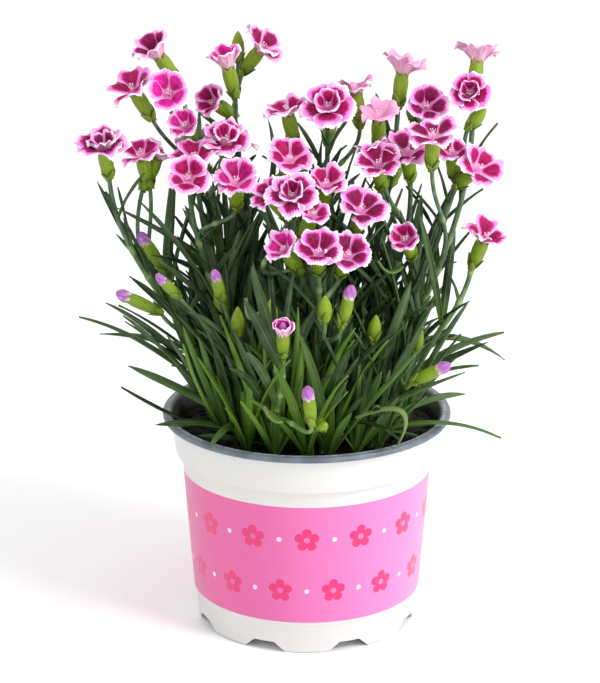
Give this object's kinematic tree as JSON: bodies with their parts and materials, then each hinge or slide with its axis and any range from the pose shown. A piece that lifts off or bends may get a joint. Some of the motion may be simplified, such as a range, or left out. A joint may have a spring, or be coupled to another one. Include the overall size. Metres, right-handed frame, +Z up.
{
  "type": "potted dianthus plant",
  "caption": "Dianthus plant in flower, with leafy stems, calyxes, buds and open blooms, rooted in soil in a tapered plastic nursery pot with a coloured band.",
  "frame": {"origin": "middle of the pot's foot, on the flat pad under its floor, at the height of the surface that the pot stands on", "axes": "+Z up along the pot's axis, -Y towards the side that the picture shows, +X to that view's right"},
  "size_m": [0.1932, 0.171, 0.2689],
  "materials": {
    "pot_plastic": "satin",
    "potting_soil": "matte",
    "leaf_green": "satin",
    "petal_pink": "matte",
    "bud_lilac": "matte"
  },
  "bodies": {
    "root": {"bloom_back_centre": "petal_pink", "bloom_back_left": "petal_pink", "bloom_back_right": "petal_pink", "bloom_centre": "petal_pink", "bloom_centre_front": "petal_pink", "bloom_centre_high": "petal_pink", "bloom_centre_pale": "petal_pink", "bloom_centre_top": "petal_pink", "bloom_edge_high": "petal_pink", "bloom_edge_top": "petal_pink", "bloom_far_left": "petal_pink", "bloom_far_right": "petal_pink", "bloom_front": "petal_pink", "bloom_front_left": "petal_pink", "bloom_half_open": "petal_pink", "bloom_left_cup": "petal_pink", "bloom_left_edge": "petal_pink", "bloom_left_face": "petal_pink", "bloom_left_fan": "petal_pink", "bloom_left_high": "petal_pink", "bloom_left_peeping": "petal_pink", "bloom_left_ruffled": "petal_pink", "bloom_left_small": "petal_pink", "bloom_left_top": "petal_pink", "bloom_mid_low": "petal_pink", "bloom_mid_right": "petal_pink", "bloom_right_flat": "petal_pink", "bloom_right_high": "petal_pink", "bloom_right_low": "petal_pink", "bloom_right_mid": "petal_pink", "bloom_right_opening": "petal_pink", "bloom_right_pale": "petal_pink", "bloom_right_top": "petal_pink", "bloom_top_left": "petal_pink", "bud_tip_far_left": "bud_lilac", "bud_tip_left": "bud_lilac", "bud_tip_lilac": "bud_lilac", "bud_tip_low": "bud_lilac", "bud_tip_right": "bud_lilac", "bud_tip_rolled": "bud_lilac", "leafy_stem_back_left": "leaf_green", "leafy_stem_back_right": "leaf_green", "leafy_stem_centre": "leaf_green", "leafy_stem_centre_front": "leaf_green", "leafy_stem_centre_top": "leaf_green", "leafy_stem_far_left": "leaf_green", "leafy_stem_far_right": "leaf_green", "leafy_stem_front_low": "leaf_green", "leafy_stem_front_right": "leaf_green", "leafy_stem_left_front": "leaf_green", "leafy_stem_left_inner": "leaf_green", "leafy_stem_left_top": "leaf_green", "leafy_stem_mid_right": "leaf_green", "leafy_stem_right_low": "leaf_green", "leafy_stem_right_mid": "leaf_green", "leafy_stem_right_outer": "leaf_green", "leafy_stem_right_top": "leaf_green", "leafy_stem_top_left": "leaf_green", "pot": "pot_plastic", "soil": "potting_soil"}
  },
  "joints": []
}
